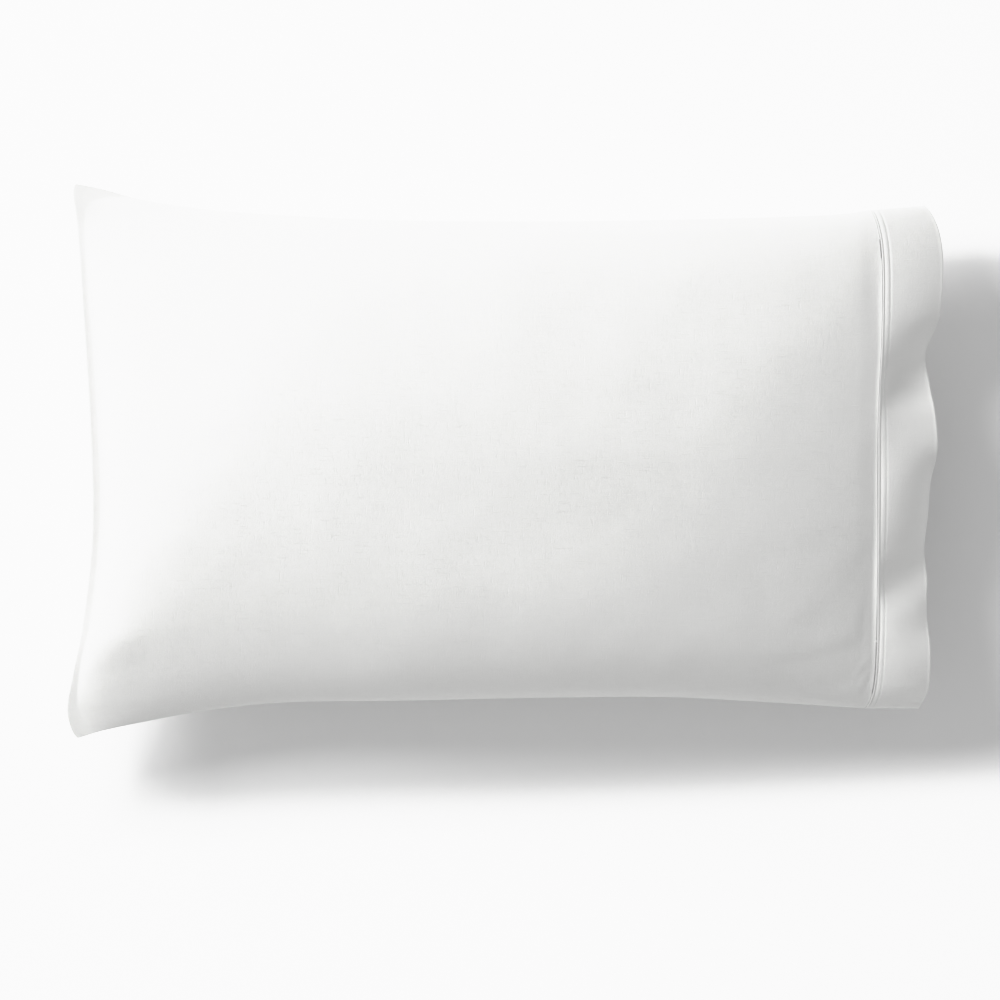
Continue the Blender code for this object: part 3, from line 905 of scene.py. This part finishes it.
def make_stitches(hem_row, onward, outward):
    """The row of stitches that holds the hem, sunk in the hem's own ditch."""
    shape, shape_faces = thread_shape()
    closed = np.concatenate([hem_row, hem_row[:1]])
    distance = arc_lengths(closed[None], 1)[0]
    count = int(distance[-1] / STITCH_PITCH)
    points, faces, uvs = [], [], []
    for i in range(count):
        place = distance[-1] * (i + 0.5) / count
        k = int(np.searchsorted(distance, place)) - 1
        t = (place - distance[k]) / (distance[k + 1] - distance[k])
        run = closed[k + 1] - closed[k]
        run /= np.linalg.norm(run)
        up = outward[k]
        turn = run * math.cos(STITCH_SLANT) + onward[k] * math.sin(STITCH_SLANT)
        beside = np.cross(up, turn)
        middle = blend(closed[k], closed[k + 1], t) + up * STITCH_PROUD * STITCH_RADIUS
        first = i * len(shape)
        points.append(middle + shape[:, :1] * turn + shape[:, 1:2] * beside + shape[:, 2:] * up)
        for face in shape_faces:
            faces.append([first + c for c in face])
            uvs += [(shape[c, 0] + place, shape[c, 1]) for c in face]
    return add_mesh("hem_stitches", np.concatenate(points), faces, uvs)


# ---- materials ----------------------------------

WHITE = (0.872, 0.872, 0.862)
BASE_TONE = 0.970         # share of the white that the plain cloth shows
THREAD_PITCH = 0.00055    # spacing of the threads in the weave
WEAVE_HEIGHT = 0.00009
CROSSING = 0.2            # how softly one thread passes under the other
SLUB_SHARE = 0.62         # noise level over which a thread thickens into a slub
SLUB_RANGE = 0.16         # and the levels over which it does
SLUB_HEIGHT = 0.00012
SLUB_TONE = 0.025
YARN_HEIGHT = 0.00008     # slow unevenness of whole groups of yarns
YARN_TONE = 0.016
FUZZ_SCALE = 1800.0       # a fine fuzz, in repeats for each metre
FUZZ_HEIGHT = 0.00005
FUZZ_TONE = 0.020
CLOUD_SCALE = 22.0        # broad clouds of slightly brighter cloth
CLOUD_TONE = 0.020

# Noise drawn out along the threads: repeats for each metre of u and v, and its own offset.
Streaks = namedtuple("Streaks", "u_scale v_scale offset")
SLUBS_ALONG = Streaks(55.0, 1300.0, 3.0)
SLUBS_ACROSS = Streaks(1300.0, 80.0, 7.0)
YARNS_ALONG = Streaks(60.0, 380.0, 1.0)
YARNS_ACROSS = Streaks(380.0, 60.0, 5.0)

PLY_TURN = 9000.0         # radians for each metre along the sewing thread
PLY_SLANT = 7000.0        # and across it
# painted shade: the thread is this much darker in the groove between its plies
PLY_GROOVE_SHADE = 0.05
PLY_HEIGHT = 0.00005

Surface = namedtuple("Surface", "roughness specular sheen")
COTTON = Surface(0.92, 0.25, 0.12)
PIPING_COTTON = Surface(0.92, 0.25, 0.10)
SHEEN_ROUGHNESS = 0.45
THREAD = Surface(0.60, 0.35, 0.0)


class Nodes:
    """A new material, with a small helper that adds linked shader nodes to it."""

    def __init__(self, name):
        self.material = bpy.data.materials.new(name)
        self.material.use_nodes = True
        self.tree = self.material.node_tree
        self.shader = self.tree.nodes["Principled BSDF"]

    def fill(self, node, inputs):
        """Links or sets a node's inputs."""
        for socket, value in dict(inputs).items():
            if isinstance(value, bpy.types.NodeSocket):
                self.tree.links.new(value, node.inputs[socket])
            else:
                node.inputs[socket].default_value = value

    def new(self, kind, inputs=(), **settings):
        """A new node with its settings and inputs."""
        node = self.tree.nodes.new(kind)
        for name, value in settings.items():
            setattr(node, name, value)
        self.fill(node, inputs)
        return node

    def cloth_uv(self):
        """The cloth's (u, v), in metres."""
        return self.new("ShaderNodeUVMap", uv_map="Cloth").outputs["UV"]

    def math(self, operation, a, b=0.0):
        return self.new("ShaderNodeMath", {0: a, 1: b}, operation=operation).outputs[0]

    def weighted(self, *parts):
        """The sum of values times their weights, from (value, weight) pairs."""
        total, *rest = [self.math("MULTIPLY", value, weight) for value, weight in parts]
        for term in rest:
            total = self.math("ADD", total, term)
        return total

    def noise(self, vector, scale, detail):
        node = self.new("ShaderNodeTexNoise",
                        {"Vector": vector, "Scale": scale, "Detail": detail})
        return node.outputs["Fac"]

    def streaks(self, vector, pattern, detail):
        """Noise that is drawn out along the threads."""
        offset = (pattern.offset, pattern.offset, 0.0)
        scale = (pattern.u_scale, pattern.v_scale, 1.0)
        drawn = self.new("ShaderNodeMapping",
                         {"Vector": vector, "Location": offset, "Scale": scale})
        return self.noise(drawn.outputs["Vector"], 1.0, detail)

    def ramp(self, value, low, high):
        """A smooth ramp of a value from 0 at low to 1 at high."""
        node = self.new("ShaderNodeMapRange",
                        {"Value": value, "From Min": low, "From Max": high},
                        interpolation_type="SMOOTHSTEP")
        return node.outputs["Result"]


def weave(nodes, uv):
    """Height of a plain weave, from 0 between the threads to 1 on top of them."""
    split = nodes.new("ShaderNodeSeparateXYZ", {"Vector": uv})
    turn = math.pi / THREAD_PITCH
    warp = nodes.math("SINE", nodes.math("MULTIPLY", split.outputs["X"], turn))
    weft = nodes.math("SINE", nodes.math("MULTIPLY", split.outputs["Y"], turn))
    on_top = nodes.ramp(nodes.math("MULTIPLY", warp, weft), -CROSSING, CROSSING)
    mix = nodes.new("ShaderNodeMix", {"Factor": on_top, "A": nodes.math("ABSOLUTE", warp),
                                      "B": nodes.math("ABSOLUTE", weft)})
    return mix.outputs["Result"]


def slubs(nodes, uv, pattern):
    """Sparse thickened stretches of thread, from 0 to 1."""
    return nodes.ramp(nodes.streaks(uv, pattern, 1.0), SLUB_SHARE, SLUB_SHARE + SLUB_RANGE)


def finish(nodes, surface, level, height):
    """Gives a material its share of white, its fine relief in metres and its gloss."""
    tint = nodes.new("ShaderNodeVectorMath", {0: WHITE, "Scale": level}, operation="SCALE")
    bump = nodes.new("ShaderNodeBump", {"Strength": 1.0, "Distance": 1.0, "Height": height})
    nodes.fill(nodes.shader, {
        "Base Color": tint.outputs["Vector"],
        "Normal": bump.outputs["Normal"],
        "Roughness": surface.roughness,
        "Specular IOR Level": surface.specular,
        "Sheen Weight": surface.sheen,
        "Sheen Roughness": SHEEN_ROUGHNESS})
    return nodes.material


def thread(name, surface):
    """Sewing thread: two plies twisted round each other, with painted shade in the groove
    between them.
    """
    nodes = Nodes(name)
    split = nodes.new("ShaderNodeSeparateXYZ", {"Vector": nodes.cloth_uv()})
    turn = nodes.weighted((split.outputs["X"], PLY_TURN), (split.outputs["Y"], PLY_SLANT))
    ply = nodes.math("ABSOLUTE", nodes.math("SINE", turn))
    # painted shade: darker where the plies dip into the groove between them
    level = nodes.math("ADD", nodes.math("MULTIPLY", ply, PLY_GROOVE_SHADE), 1.0 - PLY_GROOVE_SHADE)
    return finish(nodes, surface, level, nodes.math("MULTIPLY", ply, PLY_HEIGHT))


def cotton(name, surface):
    """White cotton: a plain weave with slubs, a soft sheen and slight unevenness."""
    nodes = Nodes(name)
    uv = nodes.cloth_uv()
    thick = nodes.math("MAXIMUM", slubs(nodes, uv, SLUBS_ALONG), slubs(nodes, uv, SLUBS_ACROSS))
    fuzz = nodes.noise(uv, FUZZ_SCALE, 3.0)
    cloud = nodes.noise(uv, CLOUD_SCALE, 3.0)
    yarns = nodes.math("ADD", nodes.streaks(uv, YARNS_ALONG, 2.0),
                       nodes.streaks(uv, YARNS_ACROSS, 2.0))
    tone = nodes.weighted((thick, SLUB_TONE), (cloud, CLOUD_TONE), (fuzz, FUZZ_TONE),
                          (yarns, YARN_TONE))
    height = nodes.weighted((weave(nodes, uv), WEAVE_HEIGHT), (thick, SLUB_HEIGHT),
                            (fuzz, FUZZ_HEIGHT), (yarns, YARN_HEIGHT))
    return finish(nodes, surface, nodes.math("ADD", tone, BASE_TONE - YARN_TONE), height)


# ---- the photo's view and light -----------------

CAMERA_AT = (-0.002325, -0.03534, 2.572)
CAMERA_OVER_SEAMS = 2.5   # its height over the seams' level
HALF_FIELD = 0.465        # half of what the picture spans at the seams' level
LIGHT_TOWARDS = (-0.620, 0.505, 0.580)
LIGHT_DISTANCE = 2.6
LIGHT_SIZE = 1.35
LIGHT_POWER = 58.0
FILL = 0.505              # brightness of the white surrounding
FLOOR_COLOUR = (0.94, 0.94, 0.94)
FLOOR_REACH = 16.0        # half of its side
FLOOR_BELOW = 0.0004      # it lies this far under the cloth
PAINTED_FLOOR_LIGHT = 0.42         # painted light: brightness the floor gives off itself, outside the object and its shadow
PAINTED_LIGHT_LEFT = (-0.42, -0.34)    # x where it starts to fade and where it is gone
PAINTED_LIGHT_RIGHT = (0.62, 0.49)
PAINTED_LIGHT_TOP = (0.235, 0.185)     # the same for y
PAINTED_LIGHT_BOTTOM = (-0.364, -0.292)
PAINTED_LIGHT_SLANT = -0.06        # rise of the bottom one for each metre of x, with its sign turned
TONE_WHITE = 1.8          # scene brightness where the tone curve ends
TONE = ((0.0, 0.0), (0.60, 0.60), (0.70, 0.71), (0.78, 0.815), (0.86, 0.89),
        (0.95, 0.93), (1.15, 0.953), (1.35, 0.962), (1.8, 0.967))


def make_view():
    """The photo's camera, straight over the object."""
    data = bpy.data.cameras.new("camera")
    data.sensor_fit = "HORIZONTAL"
    data.angle = 2.0 * math.atan(HALF_FIELD / CAMERA_OVER_SEAMS)
    camera = add_object("camera", data)
    camera.location = CAMERA_AT
    bpy.context.scene.camera = camera


def make_light():
    """One large soft lamp from the photo's upper left, and a white surrounding."""
    data = bpy.data.lights.new("key", "AREA")
    data.shape = "DISK"
    data.size = LIGHT_SIZE
    data.energy = LIGHT_POWER
    key = add_object("key", data)
    towards = np.array(LIGHT_TOWARDS) / np.linalg.norm(LIGHT_TOWARDS)
    key.location = towards * LIGHT_DISTANCE
    key.rotation_euler = Vector(towards).to_track_quat("Z", "Y").to_euler()
    world = bpy.data.worlds.new("fill")
    world.use_nodes = True
    background = world.node_tree.nodes["Background"]
    background.inputs["Color"].default_value = (1.0, 1.0, 1.0, 1.0)
    background.inputs["Strength"].default_value = FILL
    bpy.context.scene.world = world


def make_tone():
    """A tone curve that eases bright cloth and paper to just under white."""
    view = bpy.context.scene.view_settings
    view.view_transform = "Standard"
    view.use_curve_mapping = True
    mapping = view.curve_mapping
    mapping.white_level = (TONE_WHITE,) * 3
    points = mapping.curves[3].points
    for scene_light, shown in TONE[1:-1]:
        points.new(scene_light / TONE_WHITE, shown)
    points[0].location = TONE[0]
    points[-1].location = (1.0, TONE[-1][1])
    mapping.update()


def make_floor():
    """A pale floor with painted light: it glows a little all round the object and its shadow,
    and so also lightens the shadow's outer edge.
    """
    mesh = bpy.data.meshes.new("floor")
    far, z = FLOOR_REACH, -FLOOR_BELOW
    corners = [(-far, -far, z), (far, -far, z), (far, far, z), (-far, far, z)]
    mesh.from_pydata(corners, [], [(0, 1, 2, 3)])
    floor = add_object("floor", mesh)
    nodes = Nodes("floor_paper")
    place = nodes.new("ShaderNodeTexCoord").outputs["Object"]
    split = nodes.new("ShaderNodeSeparateXYZ", {"Vector": place})
    x, y = split.outputs["X"], split.outputs["Y"]
    slanted = nodes.new("ShaderNodeMath", {0: x, 1: PAINTED_LIGHT_SLANT, 2: y}, operation="MULTIPLY_ADD")
    shaded = nodes.ramp(x, *PAINTED_LIGHT_LEFT)
    for edge in (nodes.ramp(x, *PAINTED_LIGHT_RIGHT), nodes.ramp(slanted.outputs[0], *PAINTED_LIGHT_BOTTOM),
                 nodes.ramp(y, *PAINTED_LIGHT_TOP)):
        shaded = nodes.math("MULTIPLY", shaded, edge)
    # painted light: the floor glows outside the object and its shadow, where the lamp alone
    # leaves it short of even white
    painted_light = nodes.math("MULTIPLY", nodes.math("SUBTRACT", 1.0, shaded), PAINTED_FLOOR_LIGHT)
    nodes.fill(nodes.shader, {
        "Base Color": (*FLOOR_COLOUR, 1.0),
        "Roughness": 1.0,
        "Specular IOR Level": 0.0,
        "Emission Color": (1.0, 1.0, 1.0, 1.0),
        "Emission Strength": painted_light})
    mesh.materials.append(nodes.material)


def main():
    """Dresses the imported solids, and sets up the photo's view and light."""
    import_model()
    case, piping = make_case(), make_piping()
    hem, stitches = make_hem()
    for piece, node, slot, material in (
            (case, "case_body", "case_cloth", cotton("case_cotton", COTTON)),
            (hem, "hem_band", "hem_cloth", cotton("hem_cotton", COTTON)),
            (piping, "hem_piping", "piping_cloth", cotton("piping_cotton", PIPING_COTTON)),
            (stitches, None, "hem_cloth", thread("hem_thread", THREAD))):
        piece.data.materials.append(material)
        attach(piece, "root")
        if node:
            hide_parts(node)
    make_view()
    make_light()
    make_floor()
    make_tone()


main()
